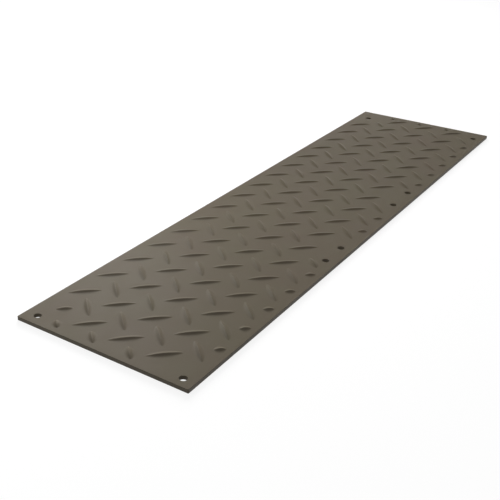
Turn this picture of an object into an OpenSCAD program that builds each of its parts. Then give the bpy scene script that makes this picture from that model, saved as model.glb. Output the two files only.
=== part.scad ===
// Ground protection mat: one pressed plastic sheet with a tread of raised, lens-shaped lugs.
// X runs along the sheet, Y across it, and Z up from the face that lies on the ground.
// The origin is the middle of the underside.

/* [Sheet] */
// Length of the sheet
mat_length = 2438.4; // [1800:0.1:3000]
// Width of the sheet
mat_width = 609.6; // [500:0.1:900]
// Thickness of the sheet under the tread
mat_thickness = 12.7; // [8:0.1:20]
// Radius of the sheet's four corners
corner_radius = 3; // [1:0.5:12]

/* [Tread] */
// Distance from one lug to the next of the same slant, along and across the sheet
lug_pitch = 133.6; // [115:0.1:180]
// Length of a whole lug
lug_length = 106; // [80:1:112]
// Width of a lug at its middle
lug_width = 17; // [10:0.5:22]
// Height of a lug's crest above the sheet
lug_height = 4.5; // [2:0.1:6]
// Width of the flat crest along the top of a lug
crest_width = 2; // [0.6:0.2:4]
// Distance from the sheet's left side to the first row of lugs that slant towards the right
first_row = 63.6; // [30:0.1:100]
// Distance that the tread sits further along than the sheet's middle
tread_shift = 12; // [-60:1:60]
// Bare margin between the tread and each end of the sheet
end_margin = 22; // [8:1:60]
// Bare margin between the tread and each long side
side_margin = 23.5; // [12:0.5:40]
// Shortest piece of a cut lug that the mould still has
shortest_lug = 28; // [20:1:60]

/* [Holes] */
// Diameter of the eight fastening holes
hole_diameter = 24; // [12:0.5:35]
// Distance of the near end's left hole from that end
near_left_inset = 38; // [25:1:120]
// Distance of the near end's right hole from that end
near_right_inset = 34; // [20:1:120]
// Distance of the far end's left hole from that end
far_left_inset = 92; // [25:1:140]
// Distance of the far end's right hole from that end
far_right_inset = 81; // [25:1:140]
// Distance of the near end's left hole from the left side
near_left_side_inset = 46; // [25:1:80]
// Distance of the far end's left hole from the left side
far_left_side_inset = 58; // [25:1:80]
// Distance of the right side's six holes from that side
right_side_inset = 40; // [25:1:60]
// Distance from the sheet's middle to the inner hole of the near pair
near_pair_offset = 246; // [120:1:300]
// Distance between the two holes of the near pair
near_pair_spacing = 116; // [60:1:200]
// Distance from the sheet's middle to the inner hole of the far pair
far_pair_offset = 206; // [120:1:300]
// Distance between the two holes of the far pair
far_pair_spacing = 144; // [60:1:200]
// Radius of the bare ring round each corner hole
corner_ring = 62; // [30:1:80]
// Radius of the bare ring round each paired hole
pair_ring = 42; // [25:1:60]
// Distance that the bare strip between two paired holes reaches in from the side
strip_depth = 97; // [60:1:120]
// Distance that the bare strip runs past the centres of its two holes
strip_overrun = 15; // [5:1:40]

/* [Hidden] */
sheet_colour = [0.43, 0.40, 0.35];
root_depth = 2;         // how far a lug's body reaches down into the sheet
through = 1;            // how far a cutting tool runs past the face that it cuts
half_length = mat_length / 2;
half_width = mat_width / 2;
right_row = right_side_inset - half_width;

near_pair = [-near_pair_offset - near_pair_spacing, -near_pair_offset];
far_pair = [far_pair_offset, far_pair_offset + far_pair_spacing];

corner_holes = [
    [near_left_inset - half_length, half_width - near_left_side_inset],
    [near_right_inset - half_length, right_row],
    [half_length - far_right_inset, right_row],
    [half_length - far_left_inset, half_width - far_left_side_inset]
];
paired_holes = [for (pair = [near_pair, far_pair], x = pair) [x, right_row]];

// Radius of the arc that rises by rise over a chord
function arc_radius(chord, rise) = (chord * chord / 4 + rise * rise) / (2 * rise);

// A lug runs along one of the sheet's two diagonals: slant is +1 or -1
function diagonal(slant) = [1, slant] / sqrt(2);

// The stretch of a slanting line through centre that has one coordinate between low and high
function stretch(centre, slope, low, high) =
    slope > 0 ? [(low - centre) / slope, (high - centre) / slope]
              : [(high - centre) / slope, (low - centre) / slope];

function overlap(a, b) = [max(a[0], b[0]), min(a[1], b[1])];

function size(part) = part[1] - part[0];

// The longer of the two pieces of a stretch that a gap leaves on its sides
function beside(part, gap) =
    let (
        before = [part[0], min(part[1], gap[0])],
        after = [max(part[0], gap[1]), part[1]]
    )
    size(gap) <= 0 || gap[0] > part[1] || gap[1] < part[0] ? part
    : size(before) > size(after) ? before : after;

function beside_all(part, gaps, i = 0) =
    i == len(gaps) ? part : beside_all(beside(part, gaps[i]), gaps, i + 1);

// The stretch of a slanting line through centre that lies within a ring round a hole
function ring_gap(centre, along, hole, ring) =
    let (
        to_hole = hole - centre,
        foot = to_hole * along,
        offset = to_hole[0] * along[1] - to_hole[1] * along[0],
        half = sqrt(max(0, ring * ring - offset * offset))
    )
    [foot - half, foot + half];

// The stretch of a slanting line through centre that lies on the bare strip between two holes
function strip_gap(centre, along, pair) =
    overlap(
        stretch(centre[0], along[0], pair[0] - strip_overrun, pair[1] + strip_overrun),
        stretch(centre[1], along[1], -half_width, strip_depth - half_width)
    );

// Start and end of the lug that fits at one place of the tread, measured along its diagonal
function lug_stretch(centre, slant) =
    let (
        along = diagonal(slant),
        whole = [-lug_length / 2, lug_length / 2],
        in_x = stretch(centre[0], along[0], end_margin - half_length, half_length - end_margin),
        in_y = stretch(centre[1], along[1], side_margin - half_width, half_width - side_margin),
        rings = [for (hole = corner_holes) ring_gap(centre, along, hole, corner_ring)],
        pair_rings = [for (hole = paired_holes) ring_gap(centre, along, hole, pair_ring)],
        strips = [for (pair = [near_pair, far_pair]) strip_gap(centre, along, pair)]
    )
    beside_all(overlap(overlap(whole, in_x), in_y), concat(rings, pair_rings, strips));

// One lug: part of the rim of a wheel with a V edge, of which what is above the sheet shows.
// Where the rim dips into the sheet, the lug narrows to a point.
module lug(chord) {
    crest_radius = arc_radius(chord, lug_height);
    foot_radius = crest_radius - lug_height - root_depth;
    foot_width = crest_width + (lug_width - crest_width) * (lug_height + root_depth) / lug_height;
    span = 2 * asin((chord / 2 + root_depth) / crest_radius);
    translate([0, 0, lug_height - crest_radius])
        rotate([90, 0, 0])
            rotate([0, 0, 90 - span / 2])
                rotate_extrude(angle = span, $fn = 360)
                    polygon([
                        [foot_radius, -foot_width / 2],
                        [crest_radius, -crest_width / 2],
                        [crest_radius, crest_width / 2],
                        [foot_radius, foot_width / 2]
                    ]);
}

module placed_lug(centre, slant) {
    part = lug_stretch(centre, slant);
    chord = size(part);
    middle = centre + diagonal(slant) * (part[0] + part[1]) / 2;
    if (chord >= shortest_lug)
        translate([middle[0], middle[1], mat_thickness])
            rotate([0, 0, 45 * slant])
                lug(chord);
}

// Both slants repeat on a square grid of their own, and the two grids are half a pitch apart
module tread() {
    columns = ceil(half_length / lug_pitch) + 1;
    rows = ceil(mat_width / lug_pitch) + 1;
    for (column = [-columns:columns], row = [-1:rows]) {
        x = tread_shift + column * lug_pitch;
        y = half_width - first_row - row * lug_pitch;
        placed_lug([x + lug_pitch / 2, y], -1);
        placed_lug([x, y - lug_pitch / 2], 1);
    }
}

module sheet() {
    translate([-half_length + corner_radius, -half_width, 0])
        cube([mat_length - 2 * corner_radius, mat_width, mat_thickness]);
    translate([-half_length, -half_width + corner_radius, 0])
        cube([mat_length, mat_width - 2 * corner_radius, mat_thickness]);
    for (x = [-1, 1], y = [-1, 1])
        translate([x * (half_length - corner_radius), y * (half_width - corner_radius), 0])
            cylinder(r = corner_radius, h = mat_thickness, $fn = 48);
}

module mat() {
    color(sheet_colour)
        difference() {
            union() {
                sheet();
                tread();
            }
            for (hole = concat(corner_holes, paired_holes))
                translate([hole[0], hole[1], -through])
                    cylinder(d = hole_diameter, h = mat_thickness + 2 * through, $fn = 64);
        }
}

mat();
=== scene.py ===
"""Ground protection mat: the pressed plastic sheet with its tread, and the studio that shows it.

X runs along the sheet, Y across it and Z up, with the origin in the middle of the underside. The mat's sizes
are in millimetres, which MM turns into metres. The studio's places are in metres.
"""

import math

import bpy
from mathutils import Matrix, Vector


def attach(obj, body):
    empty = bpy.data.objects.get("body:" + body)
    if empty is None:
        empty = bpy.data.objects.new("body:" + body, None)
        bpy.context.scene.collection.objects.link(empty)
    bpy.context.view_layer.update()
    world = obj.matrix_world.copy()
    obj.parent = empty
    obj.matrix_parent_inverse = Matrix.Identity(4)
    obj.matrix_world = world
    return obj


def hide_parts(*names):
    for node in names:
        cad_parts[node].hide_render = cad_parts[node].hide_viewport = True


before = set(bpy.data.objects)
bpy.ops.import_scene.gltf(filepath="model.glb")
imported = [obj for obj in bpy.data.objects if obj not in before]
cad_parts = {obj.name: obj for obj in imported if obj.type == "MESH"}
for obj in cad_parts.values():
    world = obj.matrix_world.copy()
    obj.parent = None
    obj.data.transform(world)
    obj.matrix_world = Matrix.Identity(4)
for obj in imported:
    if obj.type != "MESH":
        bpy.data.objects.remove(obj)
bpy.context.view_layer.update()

MM = 0.001
ALONG, ACROSS = 0, 1        # the axes X and Y
SAME_PLACE = 1e-6           # metres by which two places may differ and still count as one
SAME_RADIUS = 1e-5          # the same for a hole's radius
CORNER_SLACK = 0.01         # millimetres by which a rounded corner may begin before its radius

# The sheet
LENGTH, WIDTH, THICKNESS = 2438.4, 609.6, 12.7
CORNER_RADIUS = 3.0
EDGE_ROUND = 0.7            # the sheet's outline, top and bottom
RIM_ROUND = 0.5             # the holes' rims
CORNER_FACETS, EDGE_FACETS, RIM_FACETS = 5, 3, 2
HALF_LENGTH, HALF_WIDTH = LENGTH / 2, WIDTH / 2

# The tread
LUG_PITCH = 133.6
LUG_LENGTH = 106.0
LUG_HEIGHT = 4.5
LUG_SLANT = 45              # degrees from the sheet's length, to one side or the other
FIRST_ROW = 63.6            # from the left side to the first row that slants to the right
TREAD_SHIFT = 12.0          # from the sheet's middle, along
END_MARGIN, SIDE_MARGIN = 22.0, 23.5
SHORTEST_LUG = 28.0
LUG_COLUMNS = 26            # facets along a lug
LUG_ARC = 2.0               # how full the crest's arc is: 2 is a round arc
LUG_TIP = 0.35              # width of a lug's tips as a share of its middle's
LUG_FOOT = 0.05             # how far a lug's border reaches into the sheet
LUG_ROOT = 0.5              # how far below its border the point lies to which a lug's underside closes

# Half of a lug's cross-section at its middle: distance from the crest line, and share of the crest's height
LUG_SECTION = [
    (0.8, 0.985), (1.7, 0.93), (3.8, 0.74), (6.0, 0.51), (8.2, 0.3),
    (10.6, 0.15), (13.5, 0.065), (16.5, 0.025), (20.0, 0.0),
]

# The holes, and what the tread leaves bare round them
HOLE_RADIUS = 12.0
HOLE_FACETS = 64
DRILL_DEPTH = 3 * THICKNESS  # runs well past both faces
RIM_STEP = HOLE_RADIUS / 4  # neighbours on a rim are nearer to each other than this
RIGHT_ROW = 40.0 - HALF_WIDTH
CORNER_HOLES = [
    (38.0 - HALF_LENGTH, HALF_WIDTH - 46.0),
    (34.0 - HALF_LENGTH, RIGHT_ROW),
    (HALF_LENGTH - 81.0, RIGHT_ROW),
    (HALF_LENGTH - 92.0, HALF_WIDTH - 58.0),
]
HOLE_PAIRS = [(-362.0, -246.0), (206.0, 350.0)]
PAIRED_HOLES = [(x, RIGHT_ROW) for pair in HOLE_PAIRS for x in pair]
CORNER_RING, PAIR_RING = 62.0, 42.0
STRIP_DEPTH, STRIP_OVERRUN = 97.0, 15.0

# The plastic
BROWN_TINT = (0.131, 0.106, 0.076, 1)
GREEN_TINT = (0.131, 0.113, 0.076, 1)
ALL_BROWN, ALL_GREEN = 0.3, 0.72    # noise at which the sheet has one of its tints alone
SPECULAR = 0.35
LEAST_ROUGH, MOST_ROUGH = 0.5, 0.54
SCUFF_NOISE = 0.3, 0.7      # noise that stands for the least and the most rough
SCUFF_SCALE = (14, 22, 22)  # along, across and up
GRAIN_STRENGTH = 0.25
GRAIN_DEPTH = 0.0002        # metres
SMOOTH_ANGLE = 40           # degrees: sharper edges than this stay sharp

# The studio, in metres and degrees
CAMERA_PLACE = (-2.7043, -1.3062, 1.3235)
CAMERA_TURN = (63.50, -0.57, -54.57)
CAMERA_LENS, CAMERA_SENSOR = 61.59, 36
CAMERA_SHIFT = (0.148, -0.013)
NEAR_LEFT_CORNER = (-1.2, 0.3, 0)
FLOOR_SIZE = 60
FLOOR_DROP = 0.0004         # keeps the floor from sharing a plane with the mat's underside
FLOOR_TONE = (0.2, 0.2, 0.2, 1)
FLOOR_GLOW = 0.85           # what makes the floor look white to the camera
AIR_LIGHT = 0.26


# Help for modelling

def deselect_all():
    if bpy.context.object and bpy.context.object.mode == "EDIT":
        bpy.ops.object.mode_set(mode="OBJECT")
    bpy.ops.object.select_all(action="DESELECT")


def work_on(obj):
    """Selects one object alone and makes it the active one."""
    deselect_all()
    obj.select_set(True)
    bpy.context.view_layer.objects.active = obj


def bake_place(obj):
    """Puts the object's place into its mesh."""
    work_on(obj)
    bpy.ops.object.transform_apply(location=True, rotation=True, scale=True)


def join(objects, name):
    work_on(objects[0])
    for other in objects[1:]:
        other.select_set(True)
    bpy.ops.object.join()
    joined = bpy.context.object
    joined.name = joined.data.name = name
    bake_place(joined)
    return joined


def select_edges(obj, wanted):
    """Goes into edit mode with only those edges selected for which wanted(edge, mesh) is true."""
    work_on(obj)
    bpy.ops.object.mode_set(mode="EDIT")
    bpy.ops.mesh.select_mode(type="EDGE")
    bpy.ops.mesh.select_all(action="DESELECT")
    bpy.ops.object.mode_set(mode="OBJECT")
    for edge in obj.data.edges:
        edge.select = wanted(edge, obj.data)
    bpy.ops.object.mode_set(mode="EDIT")


def select_pair(obj, axis, distance):
    """In edit mode: selects only the vertices at that distance from the middle, on both sides of it."""
    bpy.ops.mesh.select_all(action="DESELECT")
    bpy.ops.object.mode_set(mode="OBJECT")
    for vertex in obj.data.vertices:
        vertex.select = abs(abs(vertex.co[axis]) - distance) < SAME_PLACE
    bpy.ops.object.mode_set(mode="EDIT")


def edge_ends(edge, mesh):
    return [mesh.vertices[i].co for i in edge.vertices]


# The sheet: a slab with rounded corners, drilled, then eased along its outline and the holes' rims

def is_upright(edge, mesh):
    a, b = edge_ends(edge, mesh)
    return abs(a.z - b.z) > THICKNESS / 2 * MM


def on_a_face(a, b):
    """True where both places lie on the sheet's underside, or both on its top."""
    return any(abs(a.z - z) < SAME_PLACE and abs(b.z - z) < SAME_PLACE for z in (0, THICKNESS * MM))


def on_outline(place):
    """True on the sheet's straight sides and on its rounded corners."""
    past_end = abs(place.x) - HALF_LENGTH * MM
    past_side = abs(place.y) - HALF_WIDTH * MM
    in_corner = min(past_end, past_side) > -(CORNER_RADIUS + CORNER_SLACK) * MM
    return in_corner or max(past_end, past_side) > -SAME_PLACE


def on_rim(a, b):
    """True where both places are neighbours on the rim of the same hole."""
    for x, y in CORNER_HOLES + PAIRED_HOLES:
        centre = Vector((x * MM, y * MM))
        if all(abs((place.xy - centre).length - HOLE_RADIUS * MM) < SAME_RADIUS for place in (a, b)):
            return (a.xy - b.xy).length < RIM_STEP * MM
    return False


def is_outline(edge, mesh):
    a, b = edge_ends(edge, mesh)
    return on_a_face(a, b) and on_outline(a) and on_outline(b)


def is_rim(edge, mesh):
    a, b = edge_ends(edge, mesh)
    return on_a_face(a, b) and on_rim(a, b)


def drill_holes(slab):
    drills = []
    for x, y in CORNER_HOLES + PAIRED_HOLES:
        deselect_all()
        bpy.ops.mesh.primitive_cylinder_add(
            vertices=HOLE_FACETS, radius=HOLE_RADIUS * MM, depth=DRILL_DEPTH * MM,
            location=(x * MM, y * MM, THICKNESS / 2 * MM))
        drills.append(bpy.context.object)
    drill = join(drills, "drill")
    work_on(slab)
    cut = slab.modifiers.new("holes", "BOOLEAN")
    cut.operation = "DIFFERENCE"
    cut.solver = "EXACT"
    cut.object = drill
    bpy.ops.object.modifier_apply(modifier=cut.name)
    bpy.data.objects.remove(drill, do_unlink=True)


def model_slab():
    deselect_all()
    bpy.ops.mesh.primitive_cube_add(size=1, location=(0, 0, THICKNESS / 2 * MM))
    slab = bpy.context.object
    slab.scale = (LENGTH * MM, WIDTH * MM, THICKNESS * MM)
    bake_place(slab)
    select_edges(slab, is_upright)
    bpy.ops.mesh.bevel(offset=CORNER_RADIUS * MM, segments=CORNER_FACETS)
    bpy.ops.object.mode_set(mode="OBJECT")
    drill_holes(slab)
    select_edges(slab, is_outline)
    bpy.ops.mesh.bevel(offset=EDGE_ROUND * MM, segments=EDGE_FACETS)
    select_edges(slab, is_rim)
    bpy.ops.mesh.bevel(offset=RIM_ROUND * MM, segments=RIM_FACETS)
    bpy.ops.object.mode_set(mode="OBJECT")
    return slab


# A lug: a low ridge with a rounded crest that runs out into the sheet all round

def raise_section(lug):
    """Moves the rows of the flat grid, which is 1 m wide, to the lug's cross-section."""
    select_pair(lug, ACROSS, 0)
    bpy.ops.transform.translate(value=(0, 0, LUG_HEIGHT * MM))
    for row, (offset, height) in enumerate(LUG_SECTION, 1):
        distance = row / len(LUG_SECTION) / 2
        select_pair(lug, ACROSS, distance)
        bpy.ops.transform.resize(value=(1, offset * MM / distance, 1), center_override=(0, 0, 0))
        bpy.ops.transform.translate(value=(0, 0, height * LUG_HEIGHT * MM))


def taper_tips(lug, chord):
    """Lowers and narrows the lug from its middle to its tips, so that its crest is an arc."""
    for column in range(1, LUG_COLUMNS // 2 + 1):
        along = 2 * column / LUG_COLUMNS
        arc = 1 - along ** LUG_ARC
        width = LUG_TIP + (1 - LUG_TIP) * arc
        select_pair(lug, ALONG, along * chord / 2 * MM)
        bpy.ops.transform.resize(value=(1, width, arc), center_override=(0, 0, 0))


def sink_and_close():
    """Sets the lug a little into the sheet, and closes its underside to a point inside the sheet."""
    bpy.ops.mesh.select_mode(type="FACE")
    bpy.ops.mesh.select_all(action="SELECT")
    bpy.ops.transform.translate(value=(0, 0, -LUG_FOOT * MM))
    bpy.ops.mesh.region_to_loop()
    bpy.ops.mesh.edge_face_add()
    bpy.ops.mesh.poke(offset=LUG_ROOT * MM, center_mode="MEDIAN")


def model_lug(chord):
    """A lug of that length along X, with its middle over the origin and the sheet's face at Z 0."""
    deselect_all()
    bpy.ops.mesh.primitive_grid_add(
        x_subdivisions=LUG_COLUMNS, y_subdivisions=2 * len(LUG_SECTION), size=1)
    lug = bpy.context.object
    lug.scale = (chord * MM, 1, 1)
    bake_place(lug)
    bpy.ops.object.mode_set(mode="EDIT")
    bpy.ops.mesh.select_mode(type="VERT")
    raise_section(lug)
    taper_tips(lug, chord)
    sink_and_close()
    bpy.ops.object.mode_set(mode="OBJECT")
    return lug


# The tread: lugs on two square grids, each cut short where a margin, a hole or a bare strip is in its way

def stretch(centre, along, low, high):
    """The part of a slanting line for which one coordinate stays between low and high."""
    return sorted(((low - centre) / along, (high - centre) / along))


def overlap(a, b):
    """What two parts of a line have in common."""
    return max(a[0], b[0]), min(a[1], b[1])


def beside(part, gap):
    """The longer of the two pieces of part that a gap leaves on its sides."""
    if gap[1] <= gap[0] or gap[0] > part[1] or gap[1] < part[0]:
        return part
    before = part[0], min(part[1], gap[0])
    after = max(part[0], gap[1]), part[1]
    return max(before, after, key=lambda piece: piece[1] - piece[0])


def ring_gap(centre, along, hole, ring):
    """The part of a slanting line that lies within a ring round a hole."""
    to_hole = Vector(hole) - centre
    foot = to_hole.dot(along)
    half = math.sqrt(max(0, ring ** 2 - to_hole.cross(along) ** 2))
    return foot - half, foot + half


def strip_gap(centre, along, pair):
    """The part of a slanting line that lies on the bare strip between two holes."""
    return overlap(
        stretch(centre.x, along.x, pair[0] - STRIP_OVERRUN, pair[1] + STRIP_OVERRUN),
        stretch(centre.y, along.y, -HALF_WIDTH, STRIP_DEPTH - HALF_WIDTH))


def lug_stretch(centre, along):
    """Start and end of the lug that fits at one place of the tread, measured along its diagonal."""
    end, side = HALF_LENGTH - END_MARGIN, HALF_WIDTH - SIDE_MARGIN
    part = -LUG_LENGTH / 2, LUG_LENGTH / 2
    part = overlap(part, stretch(centre.x, along.x, -end, end))
    part = overlap(part, stretch(centre.y, along.y, -side, side))
    for hole in CORNER_HOLES:
        part = beside(part, ring_gap(centre, along, hole, CORNER_RING))
    for hole in PAIRED_HOLES:
        part = beside(part, ring_gap(centre, along, hole, PAIR_RING))
    for pair in HOLE_PAIRS:
        part = beside(part, strip_gap(centre, along, pair))
    return part


def grid_places():
    """(centre, slant) of every place for a whole lug: two square grids, half a pitch apart."""
    columns = math.ceil(HALF_LENGTH / LUG_PITCH) + 1
    rows = math.ceil(WIDTH / LUG_PITCH) + 1
    for column in range(-columns, columns + 1):
        for row in range(-1, rows + 1):
            x = TREAD_SHIFT + column * LUG_PITCH
            y = HALF_WIDTH - FIRST_ROW - row * LUG_PITCH
            yield Vector((x + LUG_PITCH / 2, y)), -1
            yield Vector((x, y - LUG_PITCH / 2)), 1


def lug_places():
    """(middle, slant, length) of every lug that is long enough to be moulded."""
    for centre, slant in grid_places():
        along = Vector((1, slant)).normalized()
        start, end = lug_stretch(centre, along)
        if end - start >= SHORTEST_LUG:
            yield centre + along * (start + end) / 2, slant, end - start


def model_tread():
    """All the lugs. Each length, to the millimetre, is modelled once and copied."""
    patterns = {}
    lugs = []
    for middle, slant, chord in lug_places():
        length = round(chord)
        if length not in patterns:
            patterns[length] = model_lug(length)
        lug = patterns[length].copy()
        lug.data = lug.data.copy()
        bpy.context.scene.collection.objects.link(lug)
        place = Matrix.Translation((middle.x * MM, middle.y * MM, THICKNESS * MM))
        lug.matrix_world = place @ Matrix.Rotation(math.radians(LUG_SLANT * slant), 4, "Z")
        lugs.append(lug)
    for pattern in patterns.values():
        bpy.data.objects.remove(pattern, do_unlink=True)
    return join(lugs, "tread")


# The plastic

def noise(tree, place, scale, detail):
    texture = tree.nodes.new("ShaderNodeTexNoise")
    texture.inputs["Scale"].default_value = scale
    texture.inputs["Detail"].default_value = detail
    tree.links.new(place, texture.inputs["Vector"])
    return texture.outputs["Fac"]


def add_tint(tree, place, shader):
    """The slow unevenness of a pressed sheet's colour."""
    tint = tree.nodes.new("ShaderNodeValToRGB")
    brown, green = tint.color_ramp.elements
    brown.position, brown.color = ALL_BROWN, BROWN_TINT
    green.position, green.color = ALL_GREEN, GREEN_TINT
    tree.links.new(noise(tree, place, scale=5, detail=4), tint.inputs["Fac"])
    tree.links.new(tint.outputs["Color"], shader.inputs["Base Color"])


def add_scuffs(tree, place, shader):
    """Satin gloss that handling has made a little uneven, more across the sheet than along it."""
    scuff_place = tree.nodes.new("ShaderNodeMapping")
    scuff_place.inputs["Scale"].default_value = SCUFF_SCALE
    tree.links.new(place, scuff_place.inputs["Vector"])
    rough = tree.nodes.new("ShaderNodeMapRange")
    rough.inputs["From Min"].default_value = SCUFF_NOISE[0]
    rough.inputs["From Max"].default_value = SCUFF_NOISE[1]
    rough.inputs["To Min"].default_value = LEAST_ROUGH
    rough.inputs["To Max"].default_value = MOST_ROUGH
    scuff = noise(tree, scuff_place.outputs["Vector"], scale=1, detail=6)
    tree.links.new(scuff, rough.inputs["Value"])
    tree.links.new(rough.outputs["Result"], shader.inputs["Roughness"])


def add_grain(tree, place, shader):
    """The fine grain of the mould."""
    bump = tree.nodes.new("ShaderNodeBump")
    bump.inputs["Strength"].default_value = GRAIN_STRENGTH
    bump.inputs["Distance"].default_value = GRAIN_DEPTH
    tree.links.new(noise(tree, place, scale=900, detail=2), bump.inputs["Height"])
    tree.links.new(bump.outputs["Normal"], shader.inputs["Normal"])


def pressed_polyethylene():
    """Grey-brown satin plastic."""
    material = bpy.data.materials.new("pressed_polyethylene")
    material.use_nodes = True
    tree = material.node_tree
    shader = tree.nodes["Principled BSDF"]
    shader.inputs["Specular IOR Level"].default_value = SPECULAR
    place = tree.nodes.new("ShaderNodeTexCoord").outputs["Object"]
    add_tint(tree, place, shader)
    add_scuffs(tree, place, shader)
    add_grain(tree, place, shader)
    return material


# The studio

def sees_backdrop(tree):
    """1 for what the camera sees, straight or in gloss and glass, and 0 for light on the object."""
    path = tree.nodes.new("ShaderNodeLightPath")
    seen = path.outputs["Is Camera Ray"]
    for kind in ("Is Glossy Ray", "Is Transmission Ray"):
        both = tree.nodes.new("ShaderNodeMath")
        both.operation = "MAXIMUM"
        tree.links.new(seen, both.inputs[0])
        tree.links.new(path.outputs[kind], both.inputs[1])
        seen = both.outputs[0]
    return seen


def pale_floor():
    """Matt grey that takes the object's shadow, with a glow that only the camera and gloss see."""
    material = bpy.data.materials.new("pale_floor")
    material.use_nodes = True
    tree = material.node_tree
    tree.nodes.clear()
    matt = tree.nodes.new("ShaderNodeBsdfDiffuse")
    matt.inputs["Color"].default_value = FLOOR_TONE
    strength = tree.nodes.new("ShaderNodeMath")
    strength.operation = "MULTIPLY"
    strength.inputs[1].default_value = FLOOR_GLOW
    tree.links.new(sees_backdrop(tree), strength.inputs[0])
    glow = tree.nodes.new("ShaderNodeEmission")
    tree.links.new(strength.outputs[0], glow.inputs["Strength"])
    both = tree.nodes.new("ShaderNodeAddShader")
    tree.links.new(matt.outputs[0], both.inputs[0])
    tree.links.new(glow.outputs[0], both.inputs[1])
    out = tree.nodes.new("ShaderNodeOutputMaterial")
    tree.links.new(both.outputs[0], out.inputs["Surface"])
    return material


def build_floor():
    deselect_all()
    bpy.ops.mesh.primitive_plane_add(size=FLOOR_SIZE, location=(0, 0, -FLOOR_DROP))
    floor = bpy.context.object
    floor.name = "studio_floor"
    floor.data.materials.append(pale_floor())


def light_world():
    world = bpy.data.worlds.new("studio_air")
    bpy.context.scene.world = world
    world.use_nodes = True
    air = world.node_tree.nodes["Background"]
    air.inputs["Color"].default_value = (1, 1, 1, 1)
    air.inputs["Strength"].default_value = AIR_LIGHT


def add_softbox(name, place, aim, size, power, grid=180, in_gloss=True):
    """A rectangular lamp; grid is the angle in degrees to which its honeycomb narrows the light."""
    deselect_all()
    bpy.ops.object.light_add(type="AREA", location=place)
    lamp = bpy.context.object
    lamp.name = name
    lamp.data.shape = "RECTANGLE"
    lamp.data.size, lamp.data.size_y = size
    lamp.data.energy = power
    lamp.data.spread = math.radians(grid)
    lamp.visible_glossy = in_gloss
    lamp.rotation_euler = (Vector(aim) - Vector(place)).to_track_quat("-Z", "Y").to_euler()


def light_studio():
    """A low key from beyond the far end, which darkens the lugs' near sides, and two small lamps near by."""
    add_softbox("key_softbox", place=(5.4, 4.1, 2.5), aim=NEAR_LEFT_CORNER,
                size=(5.0, 3.0), power=175, grid=70, in_gloss=False)
    add_softbox("sheen_softbox", place=(-0.27, 0.87, 0.7), aim=(-1.2, 0.2, 0),
                size=(0.8, 0.6), power=3.4)
    add_softbox("left_softbox", place=(-1.9, 0.9, 0.9), aim=NEAR_LEFT_CORNER,
                size=(0.8, 0.6), power=3, in_gloss=False)


def set_camera():
    bpy.ops.object.camera_add(
        location=CAMERA_PLACE, rotation=[math.radians(turn) for turn in CAMERA_TURN])
    camera = bpy.context.object
    camera.data.sensor_width = CAMERA_SENSOR
    camera.data.lens = CAMERA_LENS
    camera.data.shift_x, camera.data.shift_y = CAMERA_SHIFT
    bpy.context.scene.camera = camera


# The mat

def smooth(obj):
    """Shades the rounds smoothly, with the large flat faces kept even."""
    work_on(obj)
    bpy.ops.object.shade_smooth_by_angle(angle=math.radians(SMOOTH_ANGLE))
    even = obj.modifiers.new("even_flats", "WEIGHTED_NORMAL")
    even.keep_sharp = True
    bpy.ops.object.modifier_apply(modifier=even.name)


mat = join([model_slab(), model_tread()], "pressed_mat")
mat.data.materials.clear()
mat.data.materials.append(pressed_polyethylene())
smooth(mat)
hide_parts("mat")
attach(mat, "root")

set_camera()
build_floor()
light_world()
light_studio()
bpy.context.scene.view_settings.view_transform = "Standard"
